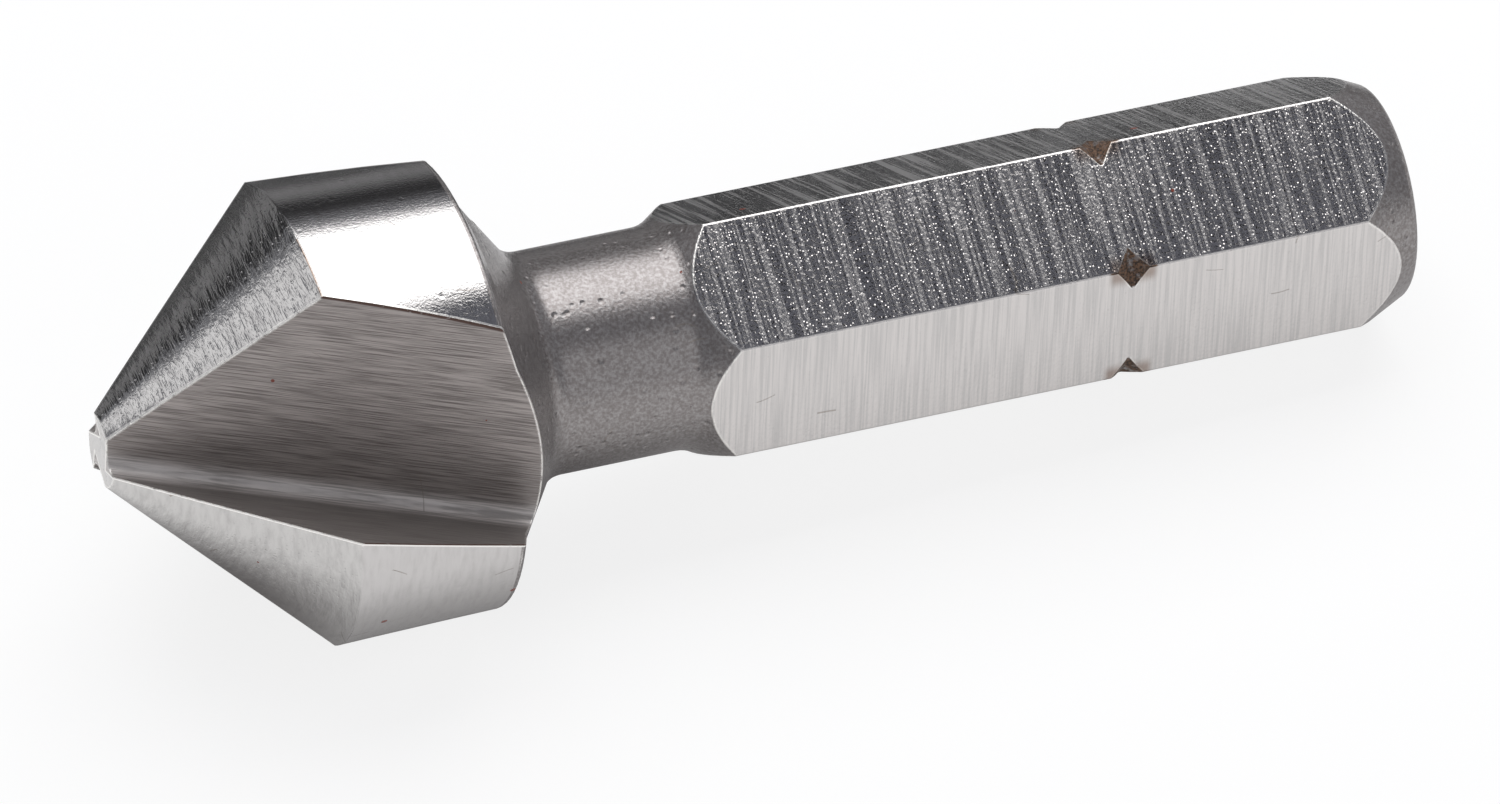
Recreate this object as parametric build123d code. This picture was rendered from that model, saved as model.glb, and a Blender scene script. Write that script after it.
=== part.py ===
from build123d import *
import math
import os

# Countersink bit, one piece of tool steel: a three-flute 90 degree head on a
# turned neck and a hexagonal driving shank with detent notches.
# Tool frame while modelling: tool axis on Z, tip face at Z = 0, shank upwards.
# Right-hand cutting: seen from the shank the bit turns clockwise.

# ---- head ----
FLUTE_COUNT = 3
CONE_ANGLE = 90.0            # included angle of the countersinking cone
HEAD_D = 12.4                # across the cutting edges where cone meets body
BODY_REAR_D = 12.2           # the body lands taper back to this at the rear rim
TIP_D = 2.2                  # across the cutting edges on the small end face
HEAD_LENGTH = 9.68           # tip face to rear rim
RIM_ROUND = 0.12             # rounding of the rear rim
SHOULDER_ANGLE = 67.0        # back face behind the rim, against the axis
CREASE_D = 10.4              # where the back face turns into the back cone
BACK_CONE_ANGLE = 55.0       # from the crease down to the neck
CONE_RELIEF = 0.19           # shift of each land's cone axis (eccentric relief)

# ---- flutes: straight V cuts whose root line rises outwards from the axis ----
FLUTE_RISE = 20.6            # root line against the tool axis
FLUTE_APEX = 1.4             # root line meets the axis this far ahead of the tip
RAKE_LEAN = 45.8             # rake face against the axial plane through the root
FLUTE_ANGLE = 65.9           # between the rake face and the flute floor
FLUTE_ROOT_R = 0.38          # fillet left by the rounded grinding wheel edge

# ---- neck ----
NECK_D = 6.0
NECK_END = 15.64             # tip face to the start of the lead-in cone
NECK_FILLET = 0.9            # between back cone and neck
LEAD_ANGLE = 33.0            # cone from neck to hexagon, against the axis
LEAD_FILLET = 1.0

# ---- hexagonal shank ----
HEX_SIDES = 6
HEX_AF = 6.3                 # across flats, 1/4 inch drive
HEX_CORNER_R = 0.1
HEX_INDEX = 7.7              # turn of the hexagon against the flute root lines
OVERALL_LENGTH = 35.9
END_CONE_D = 5.7             # end chamfer's cone where it meets the end face
END_CHAMFER_ANGLE = 25.0     # against the axis
END_ROUND = 0.3              # rounding of the end face's edge
NOTCH_FROM_END = 8.3
NOTCH_DEPTH = 0.29           # below the hexagon corners
NOTCH_ANGLE = 117.0
NOTCH_ROOT_R = 0.08

# ---- derived sizes ----
head_r = HEAD_D / 2
tip_r = TIP_D / 2
rear_r = BODY_REAR_D / 2
neck_r = NECK_D / 2
corner_r = HEX_AF / math.sqrt(3)
envelope_r = head_r
cone_slope = math.tan(math.radians(CONE_ANGLE / 2))
cone_height = (head_r - tip_r) / cone_slope
crease_r = CREASE_D / 2
crease_z = HEAD_LENGTH + (rear_r - crease_r) / math.tan(math.radians(SHOULDER_ANGLE))
neck_start = crease_z + (crease_r - neck_r) / math.tan(math.radians(BACK_CONE_ANGLE))
lead_height = (envelope_r - neck_r) / math.tan(math.radians(LEAD_ANGLE))
end_cone_r = END_CONE_D / 2
end_height = (envelope_r - end_cone_r) / math.tan(math.radians(END_CHAMFER_ANGLE))
neck_middle = (neck_start + NECK_END) / 2
notch_z = OVERALL_LENGTH - NOTCH_FROM_END
pitch = 360 / FLUTE_COUNT
clear_of_head = 2 * HEAD_D                       # cutters reach this far outwards
relief_height = cone_height + 2 * CONE_RELIEF    # past the relief's run-out on the body


def turned_blank():
    """Everything the lathe leaves, with the shank still round."""
    rim = (rear_r, HEAD_LENGTH)
    neck_corner = (neck_r, neck_start)
    lead = (neck_r, NECK_END)
    end_edge = (end_cone_r, OVERALL_LENGTH)
    outline = Polyline(
        (0, 0),
        (tip_r, 0),
        (head_r, cone_height),
        rim,
        (crease_r, crease_z),
        neck_corner,
        lead,
        (envelope_r, NECK_END + lead_height),
        (envelope_r, OVERALL_LENGTH - end_height),
        end_edge,
        (0, OVERALL_LENGTH),
        close=True,
    )
    profile = make_face(outline)
    roundings = (
        (rim, RIM_ROUND),
        (neck_corner, NECK_FILLET),
        (lead, LEAD_FILLET),
        (end_edge, END_ROUND),
    )
    for corner, radius in roundings:
        vertex = profile.vertices().sort_by_distance((*corner, 0))[0]
        profile = fillet(vertex, radius)
    return revolve(Plane.XZ * profile, Axis.Z)


def hexagon_envelope():
    """Round space around head and neck, hexagon bar around the shank."""
    bar = extrude(RegularPolygon(corner_r, HEX_SIDES), OVERALL_LENGTH - neck_middle)
    bar = fillet(bar.edges().filter_by(Axis.Z), HEX_CORNER_R)
    bar = Pos(0, 0, neck_middle) * Rot(0, 0, HEX_INDEX) * bar
    front = Cylinder(HEAD_D, neck_middle, align=(Align.CENTER, Align.CENTER, Align.MIN))
    return front + bar


def detent_groove():
    """Shallow V turned round the shank; it only reaches the corners."""
    bottom_r = corner_r - NOTCH_DEPTH
    reach = envelope_r - bottom_r
    half = reach * math.tan(math.radians(NOTCH_ANGLE / 2))
    root = (bottom_r, notch_z)
    outline = Polyline(root, (envelope_r, notch_z - half), (envelope_r, notch_z + half), close=True)
    profile = make_face(outline)
    vertex = profile.vertices().sort_by_distance((*root, 0))[0]
    profile = fillet(vertex, NOTCH_ROOT_R)
    return revolve(Plane.XZ * profile, Axis.Z)


def flute_face_angle(lean, z, radius):
    """Angle from the root line to where a flute face cuts a circle at z."""
    lean = math.radians(lean)
    rise = math.radians(FLUTE_RISE)
    across = math.cos(lean)
    along = math.sin(lean) * math.cos(rise)
    drop = (z + FLUTE_APEX) * math.sin(lean) * math.sin(rise)
    swing = math.asin(drop / (radius * math.hypot(across, along)))
    return math.degrees(math.atan2(along, across) - swing)


def relief_waste():
    """What eccentric grinding takes off one land of the cone."""
    edge = flute_face_angle(RAKE_LEAN, cone_height, head_r)
    grown = tip_r + relief_height * cone_slope
    lead = math.radians(edge + 90)
    centred = (Align.CENTER, Align.CENTER, Align.MIN)
    cone = Cone(tip_r, grown, relief_height, align=centred)
    cone = Pos(CONE_RELIEF * math.cos(lead), -CONE_RELIEF * math.sin(lead), 0) * cone
    half = math.radians(pitch / 2)
    side = clear_of_head * math.cos(half)
    rise = clear_of_head * math.sin(half)
    outline = Polyline((0, 0), (side, rise), (clear_of_head, 0), (side, -rise), close=True)
    sector = extrude(make_face(outline), relief_height)
    middle = edge - pitch / 4
    return Rot(0, 0, -middle) * sector - cone


def flute_cutter():
    """V prism along the root line, opening towards the cutting direction."""
    rise = math.radians(FLUTE_RISE)
    along = (math.sin(rise), 0, math.cos(rise))
    outward = (math.cos(rise), 0, -math.sin(rise))
    rake = math.radians(RAKE_LEAN)
    floor = math.radians(RAKE_LEAN + FLUTE_ANGLE)
    outline = Polyline(
        (0, 0),
        (clear_of_head * math.cos(rake), -clear_of_head * math.sin(rake)),
        (clear_of_head * math.cos(floor), -clear_of_head * math.sin(floor)),
        close=True,
    )
    profile = make_face(outline)
    vertex = profile.vertices().sort_by_distance((0, 0, 0))[0]
    profile = fillet(vertex, FLUTE_ROOT_R)
    plane = Plane(origin=(0, 0, -FLUTE_APEX), x_dir=outward, z_dir=along)
    return extrude(plane * profile, NECK_END)


def on_circle(angle, z, radius):
    turn = math.radians(angle)
    return Vector(radius * math.cos(turn), radius * math.sin(turn), z)


def table_normal():
    """Outward normal of the table plane under a flute.

    The bit lies on three points: the cutting edge's corner in front, the heel
    across the same flute at the rear rim, and the hexagon corner between them
    where the end chamfer starts.
    """
    edge_angle = flute_face_angle(RAKE_LEAN, cone_height, head_r)
    heel_angle = flute_face_angle(RAKE_LEAN + FLUTE_ANGLE, HEAD_LENGTH, rear_r)
    edge = on_circle(-edge_angle, cone_height, head_r)
    heel = on_circle(-heel_angle, HEAD_LENGTH, rear_r)
    middle = -(edge_angle + heel_angle) / 2
    sixth = 360 / HEX_SIDES
    corner_angle = HEX_INDEX + sixth * round((middle - HEX_INDEX) / sixth)
    chamfer = (corner_r - end_cone_r) / math.tan(math.radians(END_CHAMFER_ANGLE))
    corner = on_circle(corner_angle, OVERALL_LENGTH - chamfer, corner_r)
    normal = (heel - edge).cross(corner - edge).normalized()
    return normal if normal.dot(edge) > 0 else -normal


bit = turned_blank() & hexagon_envelope()
bit -= detent_groove()
for k in range(FLUTE_COUNT):
    bit -= Rot(0, 0, k * pitch) * relief_waste()
for k in range(FLUTE_COUNT):
    bit -= Rot(0, 0, k * pitch) * flute_cutter()

down = table_normal()
roll = -math.degrees(math.atan2(down.Y, down.X))
tilt = math.degrees(math.asin(down.Z))
lying = Rot(0, 90 + tilt, 0) * Rot(0, 0, roll) * bit
box = lying.bounding_box()
lying = Pos(-box.center().X, -box.center().Y, -box.min.Z) * lying

os.makedirs("parts", exist_ok=True)
export_step(lying, "parts/countersink_bit.step")
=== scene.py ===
# %% [markdown]
# # Countersink bit
# A small steel cutting tool: a three-flute 90 degree head, a turned neck and a
# hexagonal shank that a bit holder grips. It is one piece of steel, and the CAD
# model already holds its whole shape, so new meshes would only repeat it. This
# lesson keeps the CAD mesh and spends its effort on the two things that make
# steel look like steel: what the grinding wheel left on each surface, and what
# there is in the studio for the metal to mirror.

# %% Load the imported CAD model
import math
import bpy
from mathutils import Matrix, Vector


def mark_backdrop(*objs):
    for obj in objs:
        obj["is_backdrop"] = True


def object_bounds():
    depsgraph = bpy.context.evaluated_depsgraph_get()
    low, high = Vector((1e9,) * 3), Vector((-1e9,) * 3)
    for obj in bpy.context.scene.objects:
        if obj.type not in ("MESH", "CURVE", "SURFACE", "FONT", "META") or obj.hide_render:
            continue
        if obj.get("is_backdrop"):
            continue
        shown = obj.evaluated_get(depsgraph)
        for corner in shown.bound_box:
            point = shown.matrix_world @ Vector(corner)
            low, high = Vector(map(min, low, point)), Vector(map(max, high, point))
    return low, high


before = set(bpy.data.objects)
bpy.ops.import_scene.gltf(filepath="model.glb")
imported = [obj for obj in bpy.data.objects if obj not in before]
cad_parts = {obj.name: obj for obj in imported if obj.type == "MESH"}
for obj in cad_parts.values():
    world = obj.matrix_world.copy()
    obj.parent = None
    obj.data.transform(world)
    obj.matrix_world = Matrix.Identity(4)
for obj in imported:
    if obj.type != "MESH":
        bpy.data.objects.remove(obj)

cad_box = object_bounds()
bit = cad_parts["countersink_bit"]
print("the bit spans", [round(1000 * (b - a), 2) for a, b in zip(*cad_box)], "mm")

# %% [markdown]
# ## Camera
# A small tool is best seen through a long lens from far off, which keeps its
# edges nearly parallel. A short lens close by would swell the head. The camera
# looks down at 46 degrees from the front left. The Standard view keeps colours
# as they are written.

# %% Camera
CAMERA_PLACE = (-0.11413, -0.327947, 0.358346)
CAMERA_TURN = (44.2368, 0.4975, -19.6986)      # degrees about X, Y and Z
LENS = 451.14                                  # mm, on a sensor 36 mm wide
bpy.ops.object.select_all(action="DESELECT")
bpy.ops.object.camera_add(
    location=CAMERA_PLACE,
    rotation=[math.radians(a) for a in CAMERA_TURN],
)
camera = bpy.context.object
camera.name = "camera"
camera.data.sensor_width = 36
camera.data.lens = LENS
camera.data.clip_start = 0.01
bpy.context.scene.camera = camera
bpy.context.scene.view_settings.view_transform = "Standard"
print("camera", round(camera.location.length, 3), "m from the middle of the bit")

# %% [markdown]
# ## Small helpers for nodes
# A node tree in code is a list of boxes and wires. One helper adds a box and
# fills its sockets, where a value may be a number or another box's output. The
# others are short names for the boxes that are needed again and again.

# %% Helpers that add nodes
def put(tree, kind, sockets=(), **settings):
    """Adds a node; sockets maps an input's name or number to a value or an output."""
    node = tree.nodes.new("ShaderNode" + kind)
    for key, value in settings.items():
        setattr(node, key, value)
    for key, value in dict(sockets).items():
        if isinstance(value, bpy.types.NodeSocket):
            tree.links.new(value, node.inputs[key])
        else:
            node.inputs[key].default_value = value
    return node


def math_node(tree, operation, *values, clamp=False):
    node = put(tree, "Math", enumerate(values), operation=operation, use_clamp=clamp)
    return node.outputs[0]


print("put adds any node, math_node adds arithmetic")

# %% [markdown]
# A mask is a number that is 1 where a finish is and 0 where it isn't. Masks are
# multiplied to say "and", and a smooth step turns a distance into a mask with a
# soft border, as real borders between finishes have.

# %% Helpers for masks
def multiply(tree, first, *others):
    for other in others:
        first = math_node(tree, "MULTIPLY", first, other)
    return first


def smooth_step(tree, value, low, high, to_low=0.0, to_high=1.0):
    """to_low below low, to_high above high, with a soft change between."""
    sockets = {"Value": value, "From Min": low, "From Max": high}
    sockets |= {"To Min": to_low, "To Max": to_high}
    return put(tree, "MapRange", sockets, interpolation_type="SMOOTHSTEP").outputs[0]


def distance(tree, value, centre):
    return math_node(tree, "ABSOLUTE", math_node(tree, "SUBTRACT", value, centre))


def weighted(tree, first, first_weight, second, second_weight):
    """The sum of two numbers, each times its own weight."""
    rest = math_node(tree, "MULTIPLY", second, second_weight)
    return math_node(tree, "MULTIPLY_ADD", first, first_weight, rest)


print("four helpers for masks")

# %% [markdown]
# Two finishes meet through a mix: the first where the mask is 0 and the second
# where it is 1. Numbers such as roughness and colours each have their own kind.

# %% Helpers that mix by a mask
def choose(tree, mask, first, second):
    """A number: first where the mask is 0, second where it is 1."""
    return put(tree, "Mix", {0: mask, 2: first, 3: second}).outputs[0]


def blend(tree, mask, first, second):
    """A colour: first where the mask is 0, second where it is 1."""
    return put(tree, "Mix", {0: mask, 6: first, 7: second}, data_type="RGBA").outputs[2]


print("choose mixes numbers, blend mixes colours")

# %% [markdown]
# A node group is a box with boxes inside, such as a little machine with named
# plugs. It keeps a long tree readable, and it can be used again with other
# values. The helper makes the plugs, and the second one places the machine.

# %% Helpers for node groups
def new_group(name, inputs, outputs):
    """An empty shader node group with named sockets; returns tree, inputs, outputs."""
    tree = bpy.data.node_groups.new(name, "ShaderNodeTree")
    for socket, kind, default in inputs:
        made = tree.interface.new_socket(socket, in_out="INPUT", socket_type="NodeSocket" + kind)
        if default is not None:
            made.default_value = default
    for socket, kind in outputs:
        tree.interface.new_socket(socket, in_out="OUTPUT", socket_type="NodeSocket" + kind)
    start = tree.nodes.new("NodeGroupInput")
    end = tree.nodes.new("NodeGroupOutput")
    return tree, start.outputs, end.inputs


def use_group(tree, group, sockets=()):
    return put(tree, "Group", sockets, node_tree=group).outputs


print("new_group makes a group, use_group places it")

# %% [markdown]
# ## Positions seen from the tool
# The bit lies on a table, so its axis drops a little towards the shank, but
# nearly every mark on it runs round that axis or along it. The first group
# turns a point of the table's space into the tool's, in millimetres: how far
# along the axis from the tip, how far from the axis, and at what turn about it.
# A Mapping node set to Texture undoes a move and a turn in one box.

# %% Group: tool frame
MM = 0.001
TIP_CENTRE = Vector((-17.963, 0.0354, 6.1934)) * MM    # centre of the small end face
AXIS_DROP = math.radians(4.319)                        # how far the shank end dips
tool_frame, start, end = new_group(
    "tool frame",
    [("Position", "Vector", None)],
    [("Point", "Vector"), ("Along", "Float"), ("Radius", "Float"), ("Turn", "Float")],
)
upright = (0, math.pi / 2 + AXIS_DROP, 0)
turned = put(
    tool_frame,
    "Mapping",
    {"Vector": start[0], "Location": TIP_CENTRE, "Rotation": upright},
    vector_type="TEXTURE",
)
in_mm = put(tool_frame, "VectorMath", {0: turned.outputs[0], "Scale": 1 / MM}, operation="SCALE")
xyz = put(tool_frame, "SeparateXYZ", {0: in_mm.outputs[0]}).outputs
across_axis = put(tool_frame, "CombineXYZ", {0: xyz[0], 1: xyz[1]})
radius = put(tool_frame, "VectorMath", {0: across_axis.outputs[0]}, operation="LENGTH")
tool_frame.links.new(in_mm.outputs[0], end["Point"])
tool_frame.links.new(xyz[2], end["Along"])
tool_frame.links.new(radius.outputs["Value"], end["Radius"])
tool_frame.links.new(math_node(tool_frame, "ARCTAN2", xyz[1], xyz[0]), end["Turn"])
print("group", tool_frame.name, "puts out", [s.name for s in end if s.name])

# %% [markdown]
# The flutes repeat three times round the axis and the flats six times. This
# group folds the circle like a paper fan, so that a mark made for one flute or
# flat lands on all of them. Lean moves the borders between the folds, so that
# no border runs through a flute. The group also numbers the folds, and adding
# that number to a noise keeps the copies from looking the same.

# %% Group: fan fold
fan_fold, start, end = new_group(
    "fan fold",
    [
        ("Turn", "Float", 0.0),
        ("Radius", "Float", 0.0),
        ("Start", "Float", 0.0),
        ("Lean", "Float", 0.0),
        ("Count", "Float", 3.0),
    ],
    [("Outward", "Float"), ("Sideways", "Float"), ("Number", "Float")],
)
from_start = math_node(fan_fold, "SUBTRACT", start["Turn"], start["Start"])
leaning = math_node(fan_fold, "ADD", from_start, start["Lean"])
fold = math_node(fan_fold, "DIVIDE", 2 * math.pi, start["Count"])
number = math_node(fan_fold, "ROUND", math_node(fan_fold, "DIVIDE", leaning, fold))
folded = math_node(fan_fold, "SUBTRACT", from_start, multiply(fan_fold, number, fold))
outward = multiply(fan_fold, start["Radius"], math_node(fan_fold, "COSINE", folded))
sideways = multiply(fan_fold, start["Radius"], math_node(fan_fold, "SINE", folded))
counted = math_node(fan_fold, "FLOORED_MODULO", number, start["Count"])
for made, socket in ((outward, "Outward"), (sideways, "Sideways"), (counted, "Number")):
    fan_fold.links.new(made, end[socket])
print("group", fan_fold.name, "takes", [s.name for s in start if s.name])

# %% [markdown]
# ## Marks that tools leave
# A grinding wheel leaves thousands of short parallel lines. Noise stretched
# along one direction looks just like them: fine noise for the single lines and
# coarser noise for the bands where the wheel bit a little deeper. Modelled
# grooves would need millions of faces and would look no better.

# %% Group: grinding marks
grinding_marks, start, end = new_group(
    "grinding marks",
    [
        ("Across", "Float", 0.0),
        ("Along", "Float", 0.0),
        ("Seed", "Float", 0.0),
        ("Lines per mm", "Float", 20.0),
        ("Length in mm", "Float", 1.5),
    ],
    [("Lines", "Float"), ("Bands", "Float")],
)
across = multiply(grinding_marks, start["Across"], start["Lines per mm"])
lengthwise = math_node(grinding_marks, "DIVIDE", start["Along"], start["Length in mm"])
BAND_SHRINK = 0.12                         # bands are about eight times as broad
for output, shrink, detail in (("Lines", 1.0, 3.0), ("Bands", BAND_SHRINK, 4.0)):
    shrunk = multiply(grinding_marks, across, shrink)
    spot = put(grinding_marks, "CombineXYZ", {0: shrunk, 1: lengthwise, 2: start["Seed"]})
    sockets = {"Vector": spot.outputs[0], "Scale": 1.0, "Detail": detail, "Roughness": 0.6}
    noise = put(grinding_marks, "TexNoise", sockets)
    grinding_marks.links.new(noise.outputs[0], end[output])
print("group", grinding_marks.name, "puts out", [s.name for s in end if s.name])

# %% [markdown]
# Handling leaves stray scratches, each in its own direction. A Voronoi texture
# scatters points over the surface and gives each a random colour. The colour
# turns a short line about the point, bends it a little, and decides whether it
# is drawn at all, because a tool as new as this one has only a few.

# %% Group: stray scratches
stray_scratches, start, end = new_group(
    "stray scratches",
    [
        ("Point", "Vector", None),
        ("Per mm", "Float", 0.6),
        ("Length", "Float", 0.3),
        ("Width", "Float", 0.02),
        ("Share", "Float", 0.3),
    ],
    [("Mask", "Float")],
)
cells = put(
    stray_scratches,
    "TexVoronoi",
    {"Vector": start["Point"], "Scale": start["Per mm"]},
    voronoi_dimensions="2D",
)
chance = put(stray_scratches, "SeparateColor", {0: cells.outputs["Color"]}).outputs
offset = put(
    stray_scratches,
    "VectorMath",
    {0: start["Point"], 1: cells.outputs["Position"]},
    operation="SUBTRACT",
)
swung = put(
    stray_scratches,
    "VectorRotate",
    {"Vector": offset.outputs[0], "Angle": multiply(stray_scratches, chance[0], 2 * math.pi)},
    rotation_type="Z_AXIS",
)
swung = put(stray_scratches, "SeparateXYZ", {0: swung.outputs[0]}).outputs
bend = math_node(stray_scratches, "SUBTRACT", chance[1], 0.5)
bent = multiply(stray_scratches, swung[0], swung[0], bend)
off_line = math_node(stray_scratches, "ADD", swung[1], bent)
off_line = math_node(stray_scratches, "ABSOLUTE", off_line)
off_middle = math_node(stray_scratches, "ABSOLUTE", swung[0])
drawn = multiply(
    stray_scratches,
    math_node(stray_scratches, "LESS_THAN", off_line, start["Width"]),
    math_node(stray_scratches, "LESS_THAN", off_middle, start["Length"]),
    math_node(stray_scratches, "LESS_THAN", chance[2], start["Share"]),
)
stray_scratches.links.new(drawn, end["Mask"])
print("group", stray_scratches.name, "takes", [s.name for s in start if s.name])

# %% [markdown]
# ## The bit's steel
# One material covers the whole bit, as one bar of steel does, and masks choose
# what each surface had done to it. Painting the masks by hand or splitting the
# mesh would work too, but the surfaces have exact sizes, so arithmetic on the
# position finds them without a single painted stroke.

# %% Material: positions on the bit
steel = bpy.data.materials.new("tool_steel")
steel.use_nodes = True
tree = steel.node_tree
tree.nodes.clear()
place = put(tree, "TexCoord").outputs["Object"]
tool = use_group(tree, tool_frame, {"Position": place})
polar = {"Turn": tool["Turn"], "Radius": tool["Radius"]}
print("positions:", [s.name for s in tool])

# %% [markdown]
# Each flute is a straight V that a wheel cut along a line climbing away from
# the axis. One side of the V is the rake face, which pushes the chips, and the
# other is the broad flute floor. A point is in the flute when it lies on one of
# the two planes, so the mask measures how far the point is off both of them.

# %% Material: where the flutes are
FLUTE_START = math.radians(-71.95)         # turn about the axis at which a root line lies
FLUTE_RISE = math.radians(20.6)            # the root line climbs away from the axis
FLUTE_APEX = 1.4                           # mm ahead of the tip, where it meets the axis
RAKE_LEAN = math.radians(45.8)             # rake face against the plane through the axis
FLOOR_LEAN = math.radians(45.8 + 65.9)     # flute floor against the same plane
FOLD_LEAN = math.radians(50)               # keeps each flute whole inside its fold
FLUTE_COUNT = 3
ON_PLANE = 0.01, 0.02                      # mm off a flute's plane where its mask ends
fold = {"Start": FLUTE_START, "Lean": FOLD_LEAN, "Count": FLUTE_COUNT}
flute = use_group(tree, fan_fold, polar | fold)
from_apex = math_node(tree, "ADD", tool["Along"], FLUTE_APEX)
rise = (math.cos(FLUTE_RISE), math.sin(FLUTE_RISE))
root_away = weighted(tree, flute["Outward"], rise[0], from_apex, -rise[1])
root_along = weighted(tree, flute["Outward"], rise[1], from_apex, rise[0])
rake = (math.sin(RAKE_LEAN), math.cos(RAKE_LEAN))
floor_side = (math.sin(FLOOR_LEAN), math.cos(FLOOR_LEAN))
off_rake = weighted(tree, root_away, rake[0], flute["Sideways"], rake[1])
off_floor = weighted(tree, root_away, -floor_side[0], flute["Sideways"], -floor_side[1])
off_flute = math_node(tree, "MAXIMUM", off_rake, off_floor)
in_flute = smooth_step(tree, off_flute, *ON_PLANE, 1, 0)
on_rake = math_node(tree, "GREATER_THAN", off_rake, off_floor)
from_root_line = put(tree, "CombineXYZ", {0: root_away, 1: flute["Sideways"]}).outputs[0]
from_root = put(tree, "VectorMath", {0: from_root_line}, operation="LENGTH").outputs["Value"]
print("a flute's root line climbs", round(math.degrees(FLUTE_RISE), 1), "degrees off the axis")

# %% [markdown]
# The other ground surfaces are the six flats of the shank and the three lands
# of the head: the cone in front and the nearly straight body behind it. All
# that is left was turned on a lathe: the tip, the back of the head, the neck
# and the chamfer at the end.

# %% Material: where the flats and the lands are
HEX_START = math.radians(-94.25)       # turn at which a flat of the shank faces
HEX_APOTHEM = 3.15                     # mm from the axis to a flat
CORNER_ALONG = 5.1                     # mm from the tip to where the cone meets the body
RIM_ALONG = 9.68                       # mm from the tip to the head's rear rim
HEAD_RADIUS = 6.2                      # mm, across the corner
BODY_TAPER = 0.0218                    # mm that the body's radius loses in each mm
ON_FLAT = 0.02                         # mm below a flat that still count as the flat
SHANK_ALONG = RIM_ALONG + 4            # mm from the tip, in the middle of the neck
RIM_ROUND = 0.14, 0.1                  # mm before the rim, where its rounding starts
ON_BODY = 0.012, 0.028                 # mm below the body's surface where its mask ends
fold = {"Start": HEX_START, "Lean": 0, "Count": 6}
flat = use_group(tree, fan_fold, polar | fold)
on_flat = multiply(
    tree,
    math_node(tree, "GREATER_THAN", flat["Outward"], HEX_APOTHEM - ON_FLAT),
    math_node(tree, "GREATER_THAN", tool["Along"], SHANK_ALONG),
)
head_ends = [RIM_ALONG - before for before in RIM_ROUND]
on_head = smooth_step(tree, tool["Along"], *head_ends, 1, 0)
on_land = math_node(tree, "SUBTRACT", on_head, in_flute, clamp=True)
body_radius = math_node(
    tree,
    "MULTIPLY_ADD",
    tool["Along"],
    -BODY_TAPER,
    HEAD_RADIUS + BODY_TAPER * CORNER_ALONG,
)
below_body = math_node(tree, "SUBTRACT", body_radius, tool["Radius"])
on_body = multiply(tree, on_land, smooth_step(tree, below_body, *ON_BODY, 1, 0))
on_cone = math_node(tree, "SUBTRACT", on_land, on_body, clamp=True)
bare = math_node(tree, "MAXIMUM", on_flat, on_land)
ground = math_node(tree, "MAXIMUM", bare, in_flute)
on_turned = math_node(tree, "SUBTRACT", 1.0, ground, clamp=True)
print("flats", 2 * HEX_APOTHEM, "mm apart, body from", CORNER_ALONG, "to", RIM_ALONG, "mm")

# %% [markdown]
# Each surface's marks run its own way, because each was held another way under
# the wheel: along the root line in the flutes, across the shank on the flats,
# and round the axis on the lands. Two of the flats came off a coarser wheel.

# %% Material: marks of the grinding wheel
def wheel_marks(across, along, number, seed, lines, length):
    """Grinding marks whose copies differ from fold to fold: lines per mm, length in mm."""
    sockets = {"Across": across, "Along": along, "Lines per mm": lines, "Length in mm": length}
    sockets["Seed"] = multiply(tree, number, seed)
    return use_group(tree, grinding_marks, sockets)


round_axis = multiply(tree, tool["Turn"], tool["Radius"])
in_a_flute = (from_root, root_along, flute["Number"])
on_a_flat = (tool["Along"], flat["Sideways"], flat["Number"])
on_a_land = (tool["Along"], round_axis, flute["Number"])
flute_marks = wheel_marks(*in_a_flute, seed=7.3, lines=26, length=1.8)
flat_marks = wheel_marks(*on_a_flat, seed=5.7, lines=13, length=0.4)
flat_strokes = wheel_marks(*on_a_flat, seed=2.9, lines=12, length=4.0)
coarse_strokes = wheel_marks(*on_a_flat, seed=4.1, lines=8, length=6.0)
land_marks = wheel_marks(*on_a_land, seed=3.1, lines=6.5, length=0.9)
print("five kinds of wheel marks, from 6.5 to 26 lines per mm")

# %% [markdown]
# The lathe left no lines that can be seen, only a fine uneven skin. Two noises
# in the tool's millimetres give that grain, and the smallest pits on the rest.

# %% Material: grain and pits
def steel_noise(per_mm, detail, roughness):
    sockets = {"Vector": tool["Point"], "Scale": per_mm, "Detail": detail, "Roughness": roughness}
    return put(tree, "TexNoise", sockets).outputs[0]


grain = steel_noise(per_mm=11.0, detail=3.0, roughness=0.65)
pits = steel_noise(per_mm=15.0, detail=2.0, roughness=0.7)
print("grain 11 and pits 15 to the millimetre")

# %% [markdown]
# On the flats the wheel tore the steel here and there, which shows as glinting
# points between the strokes, and on the neck and body other tools have left
# small round dents. Both are Voronoi cells of which only a share is used. The
# torn spots are stretched across the shank, the way the wheel went.

# %% Material: dents and torn spots
DENT_SIDE = 0.05, 0.4                  # cells from a dent's middle to its side's ends


def dents(point, per_mm, share):
    """1 in the middle of small round dents, 0 between; share is how many cells have one."""
    cells = put(tree, "TexVoronoi", {"Vector": point, "Scale": per_mm})
    chance = put(tree, "SeparateColor", {0: cells.outputs["Color"]}).outputs
    dent = smooth_step(tree, cells.outputs["Distance"], *DENT_SIDE, 1, 0)
    return multiply(tree, dent, math_node(tree, "LESS_THAN", chance[0], share))


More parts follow.
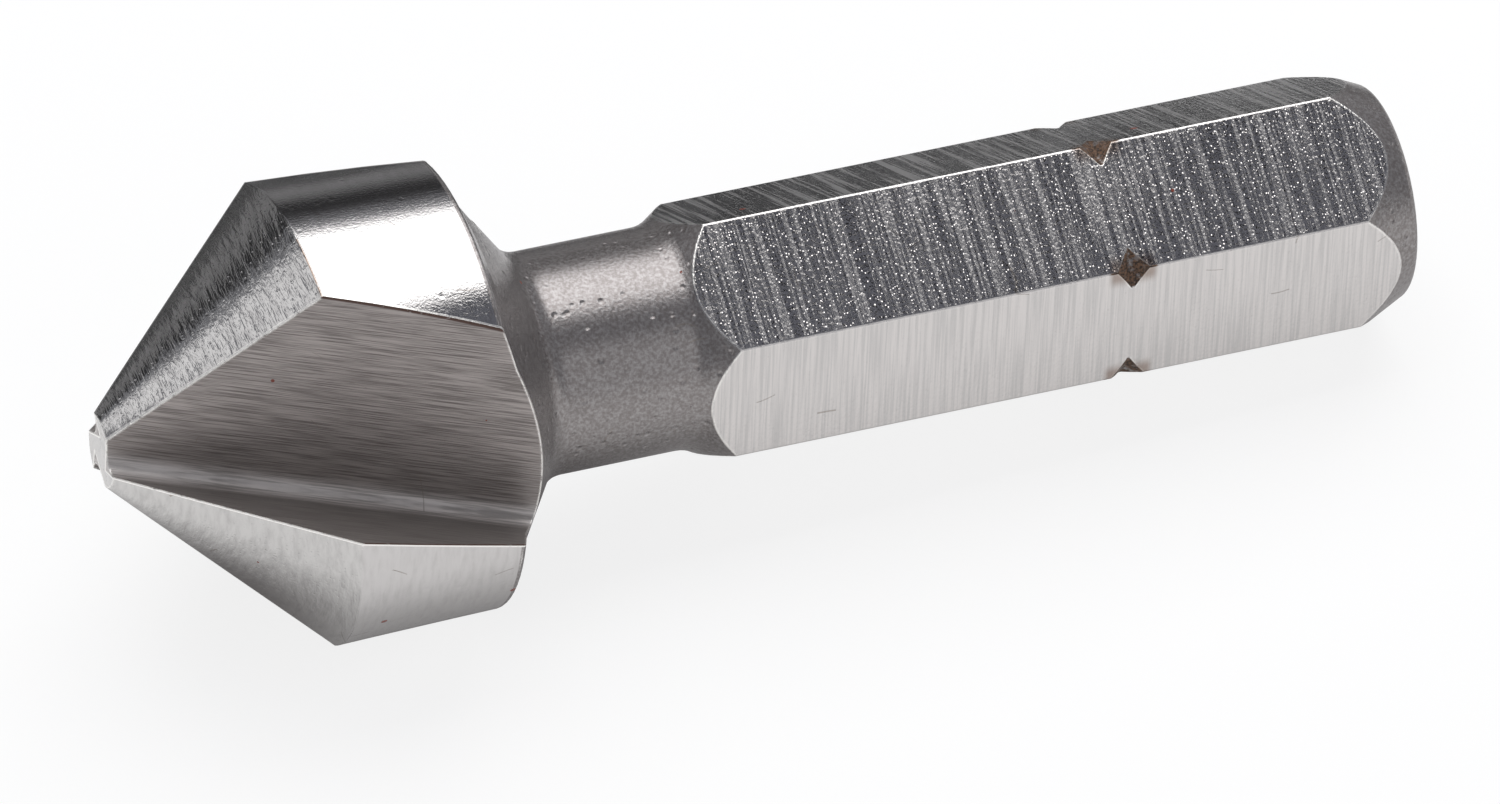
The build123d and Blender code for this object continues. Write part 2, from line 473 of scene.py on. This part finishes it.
TORN_PER_MM = 15.0
TORN_STRETCH = 0.55                    # torn spots are nearly twice as long as broad
handling_dents = dents(tool["Point"], per_mm=3.5, share=0.3)
cone_spots = dents(tool["Point"], per_mm=9.0, share=0.3)
stretched = multiply(tree, flat["Sideways"], TORN_STRETCH)
across_flat = put(tree, "CombineXYZ", {0: tool["Along"], 1: stretched}).outputs[0]
torn_spots = dents(across_flat, per_mm=TORN_PER_MM, share=0.33)
sockets = {"Vector": across_flat, "Scale": TORN_PER_MM, "Detail": 1.0}
torn_grain = put(tree, "TexNoise", sockets).outputs[0]
print("dents on neck and body, torn spots on flats and cone")

# %% [markdown]
# Stray scratches lie over the ground surfaces, and a few reddish specks of dust
# and old coolant have dried on. The scratches are drawn on the surface as if it
# were unrolled from the axis, so that they stay straight on it.

# %% Material: scratches and specks
SPECKS_PER_MM = 0.9
SPECK_RADIUS = 0.09                    # of the largest, in cells
SPECK_SHARE = 0.35                     # of the cells have a speck
unrolled = put(tree, "CombineXYZ", {0: tool["Along"], 1: round_axis}).outputs[0]
drawing = {"Point": unrolled, "Per mm": 0.55, "Length": 0.26, "Width": 0.014, "Share": 0.3}
scratched = use_group(tree, stray_scratches, drawing)["Mask"]
cells = put(tree, "TexVoronoi", {"Vector": tool["Point"], "Scale": SPECKS_PER_MM})
chance = put(tree, "SeparateColor", {0: cells.outputs["Color"]}).outputs
speck_size = multiply(tree, chance[1], SPECK_RADIUS)
is_speck = multiply(
    tree,
    math_node(tree, "LESS_THAN", cells.outputs["Distance"], speck_size),
    math_node(tree, "LESS_THAN", chance[0], SPECK_SHARE),
)
widest = round(2 * SPECK_RADIUS / SPECKS_PER_MM, 2)
print("scratches", 2 * drawing["Length"], "mm long and specks up to", widest, "mm wide")

# %% [markdown]
# A holder's spring ball drops into the notches that a shallow groove cuts into
# the shank's corners. Water stays in them, so they are the first place to rust,
# and a brown shadow lies on the steel round them. A patchy noise keeps a little
# steel showing through, as thin rust does.

# %% Material: rust in the notches
NOTCH_ALONG = 27.6                     # mm from the tip to the notches
NOTCH_HALF = 0.62, 0.7                 # mm on either side where the notch ends
BELOW_FLAT = 0.004                     # mm under a flat, which keeps rust off it
SHADOW_RADIUS = 3.38, 3.55             # mm from the axis, so only near the corners
SHADOW_REACH = 0.5, 0.75               # mm on either side of a notch's middle
SHADOW_SHARE = 0.6
RUST_PATCHES = 0.34, 0.5               # noise values between which rust sets in
patchy = steel_noise(per_mm=4.0, detail=4.0, roughness=0.7)
from_notch = distance(tree, tool["Along"], NOTCH_ALONG)
below_flat = math_node(tree, "LESS_THAN", flat["Outward"], HEX_APOTHEM - BELOW_FLAT)
in_notch = multiply(tree, smooth_step(tree, from_notch, *NOTCH_HALF, 1, 0), below_flat)
near_notch = multiply(
    tree,
    smooth_step(tree, tool["Radius"], *SHADOW_RADIUS),
    smooth_step(tree, from_notch, *SHADOW_REACH, SHADOW_SHARE, 0),
)
rusty = multiply(tree, in_notch, smooth_step(tree, patchy, *RUST_PATCHES))
print("rust at", NOTCH_ALONG, "mm from the tip")

# %% [markdown]
# ## Colour
# For a metal, Base Color is the tint of what it mirrors, so clean ground steel
# is a warm light grey and the lathe's dull skin is a darker one. In every kind
# of mark the deep lines are darker than the high ones, and the helper turns
# lines and bands into that tone.

# %% Material: colour of turned steel, flats and lands
def marked(marks, share, low, high):
    """0 in the deep lines and 1 on the high ones, from a share of bands and the rest lines."""
    both = weighted(tree, marks["Lines"], 1 - share, marks["Bands"], share)
    return smooth_step(tree, both, low, high)


TURNED = (0.26, 0.235, 0.228, 1), (0.42, 0.40, 0.395, 1)      # dark, light
GROUND = (0.60, 0.58, 0.57, 1), (0.70, 0.67, 0.655, 1)
# on the two coarse flats the strokes' strong light and dark are partly the wheel's marks and
# partly painted reflection streaks
COARSE_STROKES_AND_SHEEN = (0.37, 0.36, 0.355, 1), (0.86, 0.84, 0.83, 1)
BODY = (0.57, 0.55, 0.54, 1), (0.65, 0.63, 0.62, 1)
CONE = (0.53, 0.515, 0.505, 1), (0.66, 0.645, 0.63, 1)
COARSE_FLATS = 3.5, 0.9                # flats within 0.9 of 3.5, so numbers 3 and 4
flat_tone = marked(flat_strokes, share=0.12, low=0.36, high=0.62)
land_tone = marked(land_marks, share=0.3, low=0.25, high=0.6)
coarse_tone = smooth_step(tree, coarse_strokes["Lines"], 0.47, 0.6)
on_coarse = math_node(tree, "COMPARE", flat["Number"], *COARSE_FLATS)
fine_colour = blend(tree, flat_tone, *GROUND)
flat_colour = blend(tree, on_coarse, fine_colour, blend(tree, coarse_tone, *COARSE_STROKES_AND_SHEEN))
land_colour = blend(tree, on_body, blend(tree, land_tone, *CONE), blend(tree, land_tone, *BODY))
colour = blend(tree, smooth_step(tree, grain, 0.35, 0.7), *TURNED)
colour = blend(tree, on_flat, colour, flat_colour)
colour = blend(tree, on_land, colour, land_colour)
print("turned steel", TURNED[1][:3], "ground steel", GROUND[1][:3])

# %% [markdown]
# The flutes were cut with a softer wheel and came out a brownish grey. Along
# the root line a painted highlight stands for what the root's rounding mirrors,
# and painted shade darkens the steel beside the root and down the rake face.

# %% Material: colour of the flutes
FLUTE = (0.235, 0.208, 0.195, 1), (0.56, 0.505, 0.48, 1)
# painted shade for the crease beside the root and for the rake face
FLUTE_PAINTED_SHADE = (0.12, 0.107, 0.10, 1)
# painted highlight along the root line, for the light that the root's rounding mirrors
FLUTE_ROOT_HIGHLIGHT = (0.85, 0.82, 0.80, 1)
ROOT_HIGHLIGHT_FADE = 0.25, 0.8                     # mm from the root line where the streak fades
ROOT_HIGHLIGHT_SHARE = 0.62
SHADE_FROM = 0.4, 0.6                  # mm from the root line where the shade starts
SHADE_TO = 1.0, 2.6                    # and where it fades
SHADE_SHARE = 0.25
RAKE_FROM = 0.4, 0.8                   # mm from the root line, on the rake face
RAKE_SHARE = 0.62
flute_tone = marked(flute_marks, share=0.15, low=0.36, high=0.62)
# painted shade beside the root line, where the V's crease lies in shade
painted_shade_by_root = multiply(
    tree,
    smooth_step(tree, from_root, *SHADE_FROM),
    smooth_step(tree, from_root, *SHADE_TO, SHADE_SHARE, 0),
)
# painted shade down the rake face, the wall of the V
painted_shade_down_rake = multiply(tree, on_rake, smooth_step(tree, from_root, *RAKE_FROM, 0, RAKE_SHARE))
shade = math_node(tree, "MAXIMUM", painted_shade_by_root, painted_shade_down_rake)
# painted highlight: a bright streak along the root line
painted_root_highlight = multiply(
    tree,
    smooth_step(tree, from_root, *ROOT_HIGHLIGHT_FADE, ROOT_HIGHLIGHT_SHARE, 0),
    choose(tree, flute_tone, 0.45, 1.0),
)
flute_colour = blend(tree, shade, blend(tree, flute_tone, *FLUTE), FLUTE_PAINTED_SHADE)
flute_colour = blend(tree, painted_root_highlight, flute_colour, FLUTE_ROOT_HIGHLIGHT)
colour = blend(tree, in_flute, colour, flute_colour)
print("flutes from", FLUTE[0][:3], "to", FLUTE[1][:3])

# %% [markdown]
# ## Worn edges and painted glints
# No ground edge is perfectly sharp: a burr or a narrow worn strip catches the
# light as a bright broken line, and a near-white colour paints that glint in.
# A Bevel node rounds the normal near edges without touching the mesh, and
# where its normal and the true one disagree is an edge. The soft corner between
# cone and body keeps no such line, and along the cutting edges and heels a
# painted glint line of its own is measured from the flutes.

# %% Material: edges
EDGE_ROUND = 0.05                      # mm, the radius of every edge's rounding
EDGE_WORN = 0.09                       # mm, how far from an edge the wear reaches
SAMPLES = 6
BENT = 0.965, 0.995                    # cosines: bent below the first, straight above
LINE_FROM = 0.003, 0.008               # mm beside a flute where its bright line starts
LINE_TO = 0.055, 0.07                  # and where it ends
HEAD_BACK = RIM_ALONG + 3              # mm from the tip, behind the head
NO_LINE = 0.1, 0.3                     # mm from the corner of cone and body
NEAR_FLUTE = 0.0, 0.25                 # mm beside a flute, where the corner is worn too
rounded = put(tree, "Bevel", {"Radius": EDGE_ROUND * MM}, samples=SAMPLES).outputs[0]
rubbed = put(tree, "Bevel", {"Radius": EDGE_WORN * MM}, samples=SAMPLES).outputs[0]
true_normal = put(tree, "NewGeometry").outputs["Normal"]
agreement = put(tree, "VectorMath", {0: rubbed, 1: true_normal}, operation="DOT_PRODUCT")
# worn edges; their near-white colour below also paints a glint on them
worn = multiply(
    tree,
    smooth_step(tree, agreement.outputs["Value"], *BENT, 1, 0),
    smooth_step(tree, patchy, 0.3, 0.5),
)
from_corner = distance(tree, tool["Along"], CORNER_ALONG)
near_corner = math_node(
    tree,
    "SUBTRACT",
    smooth_step(tree, from_corner, *NO_LINE, 1, 0),
    smooth_step(tree, off_flute, *NEAR_FLUTE, 1, 0),
    clamp=True,
)
worn = math_node(tree, "SUBTRACT", worn, near_corner, clamp=True)
# painted glint line along the cutting edges and heels
painted_edge_glint = multiply(
    tree,
    smooth_step(tree, off_flute, *LINE_FROM),
    smooth_step(tree, off_flute, *LINE_TO, 1, 0),
    math_node(tree, "LESS_THAN", tool["Along"], HEAD_BACK),
    smooth_step(tree, patchy, 0.28, 0.38),
)
worn_and_glint_edge = math_node(tree, "MAXIMUM", worn, painted_edge_glint)
print("edges rounded by", EDGE_ROUND, "mm and worn for", EDGE_WORN, "mm")

# %% [markdown]
# The last colours lie over the others: the scratches, the worn edges with their
# painted glint, an old stain along the corner of one land, the dark burr where
# the body ends at a flute, the rust, and the specks on top of all.

# %% Material: colour of scratches, edges, stains and rust
# near white: the worn edges' bright steel with a painted glint on top
EDGE = (1.0, 0.98, 0.94, 1)
SCRATCH = (0.30, 0.26, 0.22, 1)
SCRATCH_SHOWS = 0.55                   # how much of its colour a scratch puts on
STAIN = (0.42, 0.26, 0.16, 1)
HEEL = (0.10, 0.045, 0.03, 1)
SPECK = (0.26, 0.07, 0.05, 1)
RUST = (0.045, 0.03, 0.022, 1), (0.20, 0.115, 0.07, 1)
STAIN_FROM = 0.012, 0.025              # mm below the body's surface, down the cone
STAIN_TO = 0.045, 0.06
STAIN_SHARE = 0.6
STAINED_FOLD = 0                       # the flute whose heel has the stain behind it
HEEL_SIDE = 0.5                        # mm: the land there has a lower Outward
HEEL_DEPTH = 0.05, 0.09                # mm that the dark burr reaches into the flute
HEEL_ALONG = CORNER_ALONG, CORNER_ALONG + 0.1
stained = multiply(
    tree,
    on_land,
    smooth_step(tree, below_body, *STAIN_FROM),
    smooth_step(tree, below_body, *STAIN_TO, STAIN_SHARE, 0),
    math_node(tree, "COMPARE", flute["Number"], STAINED_FOLD, 0.5),
    math_node(tree, "LESS_THAN", flute["Outward"], HEEL_SIDE),
    smooth_step(tree, patchy, 0.36, 0.5),
)
dark_heel = multiply(
    tree,
    in_flute,
    smooth_step(tree, below_body, *HEEL_DEPTH, 1, 0),
    smooth_step(tree, tool["Along"], *HEEL_ALONG),
    smooth_step(tree, patchy, 0.3, 0.42),
)
rust_colour = blend(tree, smooth_step(tree, pits, 0.4, 0.6), *RUST)
for mask, over in (
    (multiply(tree, scratched, SCRATCH_SHOWS), SCRATCH),
    # worn edges with a painted glint
    (worn_and_glint_edge, EDGE),
    (stained, STAIN),
    (dark_heel, HEEL),
    (near_notch, RUST[1]),
    (rusty, rust_colour),
    (is_speck, SPECK),
):
    colour = blend(tree, mask, colour, over)
print("seven more colours over the steel")

# %% [markdown]
# ## Roughness and metal
# Roughness decides how blurred the mirror image is: the lands are polished, the
# flutes are nearly matt, and on the flats the high strokes are smooth and the
# deep ones aren't. Rust and dust aren't metal at all, and a skin on the turned
# and fluted steel hides a part of the metal's own shine. On the worn edges the
# skin has gone.

# %% Material: roughness and metal
ROUGH_FINE = 0.24, 0.06                # in the deep lines, on the high ones
ROUGH_COARSE = 0.16, 0.36
ROUGH_CONE = 0.18, 0.1
ROUGH_TURNED, ROUGH_BODY, ROUGH_FLUTE = 0.27, 0.14, 0.42
ROUGH_EDGE, ROUGH_RUST = 0.3, 0.75
METAL_TURNED, METAL_FLUTE, METAL_BARE = 0.7, 0.4, 1.0
fine_flat = choose(tree, flat_tone, *ROUGH_FINE)
coarse_flat = choose(tree, coarse_tone, *ROUGH_COARSE)
rough = choose(tree, on_flat, ROUGH_TURNED, choose(tree, on_coarse, fine_flat, coarse_flat))
rough = choose(tree, on_land, rough, choose(tree, land_tone, *ROUGH_CONE))
rough = choose(tree, on_body, rough, ROUGH_BODY)
rough = choose(tree, in_flute, rough, ROUGH_FLUTE)
rough = choose(tree, worn_and_glint_edge, rough, ROUGH_EDGE)
rough = choose(tree, rusty, rough, ROUGH_RUST)
metal = choose(tree, bare, METAL_TURNED, METAL_BARE)
metal = choose(tree, in_flute, metal, METAL_FLUTE)
metal = choose(tree, worn_and_glint_edge, metal, METAL_BARE)
covered = math_node(tree, "MAXIMUM", math_node(tree, "MAXIMUM", rusty, is_speck), dark_heel)
metal = choose(tree, covered, metal, 0.0)
print("roughness", ROUGH_BODY, "on the body and", ROUGH_FLUTE, "in the flutes")

# %% [markdown]
# ## Bumps
# Lines only a few thousandths of a millimetre deep are enough to break up what
# the metal mirrors. All patterns are added into one height in millimetres, each
# times its own depth, so every number can be compared with a real surface. The
# Bump node starts from the rounded edges.

# %% Material: bumps
height = 0.0
depths = (
    (flute_marks["Lines"], in_flute, 0.009),
    (pits, in_flute, 0.004),
    (flat_marks["Lines"], on_flat, 0.005),
    (flat_strokes["Lines"], on_flat, 0.006),
    (coarse_strokes["Lines"], multiply(tree, on_flat, on_coarse), 0.014),
    (torn_spots, on_flat, -0.005),
    (torn_grain, on_flat, 0.008),
    (land_marks["Lines"], on_cone, 0.038),
    (pits, on_cone, 0.003),
    (cone_spots, on_cone, -0.005),
    (land_marks["Lines"], on_body, 0.0012),
    (pits, on_body, 0.005),
    (handling_dents, on_body, -0.003),
    (grain, on_turned, 0.009),
    (handling_dents, on_turned, -0.02),
    (scratched, bare, -0.004),
)
for pattern, mask, depth in depths:
    height = math_node(tree, "MULTIPLY_ADD", multiply(tree, pattern, mask), depth, height)
sockets = {"Height": height, "Distance": MM, "Normal": rounded}
bump = put(tree, "Bump", sockets).outputs[0]
print(len(depths), "patterns, the deepest", max(abs(d) for _, _, d in depths), "mm")

# %% [markdown]
# The Principled shader brings it all together. It stays in the material itself,
# and so the finished material can be exported.

# %% Material: shader
sockets = {"Base Color": colour, "Roughness": rough, "Metallic": metal, "Normal": bump}
shader = put(tree, "BsdfPrincipled", sockets)
put(tree, "OutputMaterial", {"Surface": shader.outputs[0]})
bit.material_slots[0].material = steel
print("material", steel.name, "has", len(tree.nodes), "nodes")

# %% [markdown]
# ## Studio
# Metal shows nothing but its surroundings, so they are built with care: pale
# paper, soft lamps, and dark boards that only the metal's reflections can see.
# The world is the dim grey room round it all.

# %% World
ROOM = (0.225, 0.23, 0.25, 1)
world = bpy.data.worlds.new("studio")
bpy.context.scene.world = world
world.use_nodes = True
room = world.node_tree.nodes["Background"].inputs
room["Color"].default_value = ROOM
room["Strength"].default_value = 1.0
print("the room is", ROOM[:3])

# %% [markdown]
# Four flat lamps do the lighting. The key lamp hangs above and behind the bit,
# where the polished body mirrors it as one white band. A large weak lamp in
# front lights the flute and the lower land, and a small one at the left puts
# the sheen on the upper cone. A smaller and stronger one, low at the left, makes
# the worn edges glint. A lamp's power follows from its size and from how bright
# it should look, so that it can be resized without changing the light.

# %% Lamps
def soft_lamp(name, location, tilt, size, radiance):
    """A flat area lamp; radiance 1 looks as bright as white."""
    bpy.ops.object.select_all(action="DESELECT")
    bpy.ops.object.light_add(type="AREA", location=location, rotation=tilt)
    lamp = bpy.context.object
    lamp.name = name
    lamp.data.shape = "RECTANGLE"
    lamp.data.size, lamp.data.size_y = size
    lamp.data.energy = radiance * math.pi * size[0] * size[1]
    print(name, "gives", round(lamp.data.energy, 3), "W")


KEY_LEAN = math.radians(24)         # behind the bit from straight above
KEY_DISTANCE = 0.28
key_place = (0.08, KEY_DISTANCE * math.sin(KEY_LEAN), KEY_DISTANCE * math.cos(KEY_LEAN))
front_place = (0.17, -0.544, 0.254)
front_tilt = (math.radians(65), 0, 0)
left_place = Vector((-0.28, 0.16, 0.14))
left_tilt = left_place.to_track_quat("Z", "Y").to_euler()
glint_place = Vector((-0.285, -0.042, 0.084))
glint_tilt = glint_place.to_track_quat("Z", "Y").to_euler()
soft_lamp("key lamp", key_place, (-KEY_LEAN, 0, 0), size=(0.34, 0.26), radiance=2.3)
soft_lamp("front lamp", front_place, front_tilt, size=(0.6, 0.56), radiance=0.42)
soft_lamp("left lamp", left_place, left_tilt, size=(0.125, 0.125), radiance=0.7)
soft_lamp("glint lamp", glint_place, glint_tilt, size=(0.08, 0.08), radiance=3.0)

# %% [markdown]
# The floor is a sheet of white paper. To the camera it is mostly plain white
# with a light soft shadow, and to the metal's reflections it is a little
# greyer, as paper is away from the lamps. Under the bit a painted shadow makes
# the paper dark in its reflections, and that dark strip gives the lower edges
# of the bit their shape. Light Path tells the three uses apart, and the last
# one, the light that the paper sends back, stays ordinary paper.

# %% Floor
FLOOR_SIZE = 4                         # m, far wider than the camera sees
SHADE_FRONT = -0.0095, -0.001          # m, the sides of the bit's shadow strip
SHADE_BACK = 0.006, 0.010
SHADE_LEFT = -0.021, -0.015
SHADE_RIGHT = -0.006, 0.0              # the head's shade gives way to the shank's,
SHADE_AT_SHANK = 0.4                   # which is only this dark
bpy.ops.object.select_all(action="DESELECT")
bpy.ops.mesh.primitive_plane_add(size=FLOOR_SIZE)
floor = bpy.context.object
floor.name = "floor"
paper = bpy.data.materials.new("paper")
paper.use_nodes = True
sheet = paper.node_tree
sheet.nodes.clear()
spot = put(sheet, "SeparateXYZ", {0: put(sheet, "TexCoord").outputs["Object"]}).outputs
# painted shadow: a dark strip under the bit that only the reflections see
painted_shadow_under_bit = multiply(
    sheet,
    smooth_step(sheet, spot[1], *SHADE_FRONT),
    smooth_step(sheet, spot[1], *SHADE_BACK, 1, 0),
    smooth_step(sheet, spot[0], *SHADE_LEFT),
    smooth_step(sheet, spot[0], *SHADE_RIGHT, 1, SHADE_AT_SHANK),
)
print("floor", tuple(floor.dimensions[:2]), "m")

# %% [markdown]
# The paper's shader mixes two kinds of white: a matt one that shadows fall on
# and an even glow that they don't reach. The lens sees much glow and little
# matt, so the background is white and the shadow stays faint.

# %% Floor: paper
LENS_MATT = (0.22, 0.22, 0.22, 1)
LENS_GLOW = (0.82, 0.82, 0.82, 1)
MIRRORED = (0.5, 0.5, 0.5, 1)
# the painted shadow's colour, as the reflections see it
MIRRORED_PAINTED_SHADOW = (0.12, 0.115, 0.115, 1)
PLAIN_PAPER = (0.8, 0.8, 0.8, 1)
path = put(sheet, "LightPath").outputs
mirrored = blend(sheet, painted_shadow_under_bit, MIRRORED, MIRRORED_PAINTED_SHADOW)
seen_matt = blend(sheet, path["Is Camera Ray"], mirrored, LENS_MATT)
seen_glow = blend(sheet, path["Is Camera Ray"], mirrored, LENS_GLOW)
seen = math_node(sheet, "MAXIMUM", path["Is Camera Ray"], path["Is Glossy Ray"])
seen = math_node(sheet, "MAXIMUM", seen, path["Is Transmission Ray"])
plain = put(sheet, "BsdfDiffuse", {"Color": PLAIN_PAPER})
matt = put(sheet, "BsdfDiffuse", {"Color": seen_matt})
glow = put(sheet, "Emission", {"Color": seen_glow, "Strength": 1.0})
both = put(sheet, "AddShader", {0: matt.outputs[0], 1: glow.outputs[0]})
choice = put(sheet, "MixShader", {0: seen, 1: plain.outputs[0], 2: both.outputs[0]})
put(sheet, "OutputMaterial", {"Surface": choice.outputs[0]})
floor.data.materials.append(paper)
floor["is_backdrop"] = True
print("paper has", len(sheet.nodes), "nodes")

# %% [markdown]
# ## Dark boards for the reflections
# Polished steel with only white round it looks like plaster, so it needs black
# cards beside it. This one lies on the floor behind the bit and stands up at
# its back edge. It is a plane whose back edge is extruded upwards
# in edit mode, and the camera, the shadows and the soft light don't see it.

# %% Dark card
CARD_SIZE = (0.15, 0.055, 1)           # m, lying
CARD_MIDDLE = (0.0, 0.0405, 0.0003)
CARD_BEND = 0.06                       # m behind the bit: only the back edge is past it
CARD_HEIGHT = 0.046


def hide_from_all_but_mirrors(board):
    board.visible_camera = False
    board.visible_diffuse = False
    board.visible_shadow = False


bpy.ops.object.select_all(action="DESELECT")
bpy.ops.mesh.primitive_plane_add(size=1)
card = bpy.context.object
card.name = "dark card"
card.scale = CARD_SIZE
card.location = CARD_MIDDLE
bpy.ops.object.transform_apply(location=True, rotation=True, scale=True)
bpy.ops.object.mode_set(mode="EDIT")
bpy.ops.mesh.select_all(action="DESELECT")
bpy.ops.mesh.select_mode(type="EDGE")
bpy.ops.object.mode_set(mode="OBJECT")
for edge in card.data.edges:
    edge.select = all(card.data.vertices[v].co.y > CARD_BEND for v in edge.vertices)
bpy.ops.object.mode_set(mode="EDIT")
bpy.ops.mesh.extrude_region_move(TRANSFORM_OT_translate={"value": (0, 0, CARD_HEIGHT)})
bpy.ops.object.mode_set(mode="OBJECT")
hide_from_all_but_mirrors(card)
print("card has", len(card.data.polygons), "faces")

# %% [markdown]
# The card is covered in black velvet whose folds run up and down. They break
# the dark reflection into the uneven streaks that a real workshop gives. Low
# down a grey strip shows as the lighter band at the top of the body.

# %% Dark card: velvet
VELVET = (0.01, 0.01, 0.012, 1), (0.2, 0.2, 0.2, 1)
GREY_STRIP = (0.42, 0.42, 0.42, 1)
BLACK = (0.03, 0.03, 0.032, 1)
GREY_FROM = 0.001, 0.003               # m above the floor
BLACK_FROM = 0.012, 0.03
FOLDS = (900, 60, 60)                  # to the metre: narrow across, long upwards
VELVET_ROUGH = 0.9
velvet = bpy.data.materials.new("black velvet")
velvet.use_nodes = True
cloth = velvet.node_tree
place = put(cloth, "TexCoord").outputs["Object"]
high = put(cloth, "SeparateXYZ", {0: place}).outputs[2]
folds = put(cloth, "Mapping", {"Vector": place, "Scale": FOLDS}).outputs[0]
folds = put(cloth, "TexNoise", {"Vector": folds, "Scale": 1.0, "Detail": 2.0}).outputs[0]
cloth_colour = blend(cloth, smooth_step(cloth, folds, 0.42, 0.62), *VELVET)
cloth_colour = blend(cloth, smooth_step(cloth, high, *GREY_FROM), cloth_colour, GREY_STRIP)
cloth_colour = blend(cloth, smooth_step(cloth, high, *BLACK_FROM), cloth_colour, BLACK)
cloth.links.new(cloth_colour, cloth.nodes["Principled BSDF"].inputs["Base Color"])
cloth.nodes["Principled BSDF"].inputs["Roughness"].default_value = VELVET_ROUGH
card.data.materials.append(velvet)
print("velvet, a grey strip and black above it")

# %% [markdown]
# A flag is a board that hides a part of a lamp or of the room. This one hangs
# over the front of the bit, where the shank's middle flat looks, so that the
# flat is dark and its torn spots glint. Its far part is black and its near part
# grey, which is how dark the flat ends up.

# %% Dark flag in front of the key lamp
FLAG_LEAN = math.radians(-15.8)         # in front of the bit from straight above
FLAG_DISTANCE = 0.2
FLAG_SIZE = (0.5, 0.1, 1)
BOARD_EDGE = -0.028, -0.018             # m, where its grey part turns black
BOARD_ROUGH = 0.9
BOARD = (0.24, 0.25, 0.29, 1), (0.02, 0.02, 0.022, 1)
bpy.ops.object.select_all(action="DESELECT")
bpy.ops.mesh.primitive_plane_add(size=1)
flag = bpy.context.object
flag.name = "dark flag"
flag.scale = FLAG_SIZE
flag.rotation_euler = (-FLAG_LEAN, 0, 0)
flag.location = (0.05, FLAG_DISTANCE * math.sin(FLAG_LEAN), FLAG_DISTANCE * math.cos(FLAG_LEAN))
bpy.ops.object.transform_apply(location=True, rotation=True, scale=True)
black = bpy.data.materials.new("grey and black board")
black.use_nodes = True
board = black.node_tree
board_y = put(board, "SeparateXYZ", {0: put(board, "TexCoord").outputs["Object"]}).outputs[1]
board_colour = blend(board, smooth_step(board, board_y, *BOARD_EDGE), *BOARD)
board.links.new(board_colour, board.nodes["Principled BSDF"].inputs["Base Color"])
board.nodes["Principled BSDF"].inputs["Roughness"].default_value = BOARD_ROUGH
flag.data.materials.append(black)
hide_from_all_but_mirrors(flag)
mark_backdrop(card, flag)
print("flag spans", [round(v, 3) for v in flag.dimensions], "m")

# %% [markdown]
# ## Sizes
# The finish must not have changed the bit's size. The box of the CAD model,
# taken at the start, is set beside the finished one's, and how far they differ is printed.

# %% Sizes, and the end
boxes = {"cad": [list(c) for c in cad_box], "visual": [list(c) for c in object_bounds()]}
grown = max(abs(a - b) for c, v in zip(*boxes.values()) for a, b in zip(c, v))
print("the finished bit's box differs by", round(1000 * grown, 4), "mm")
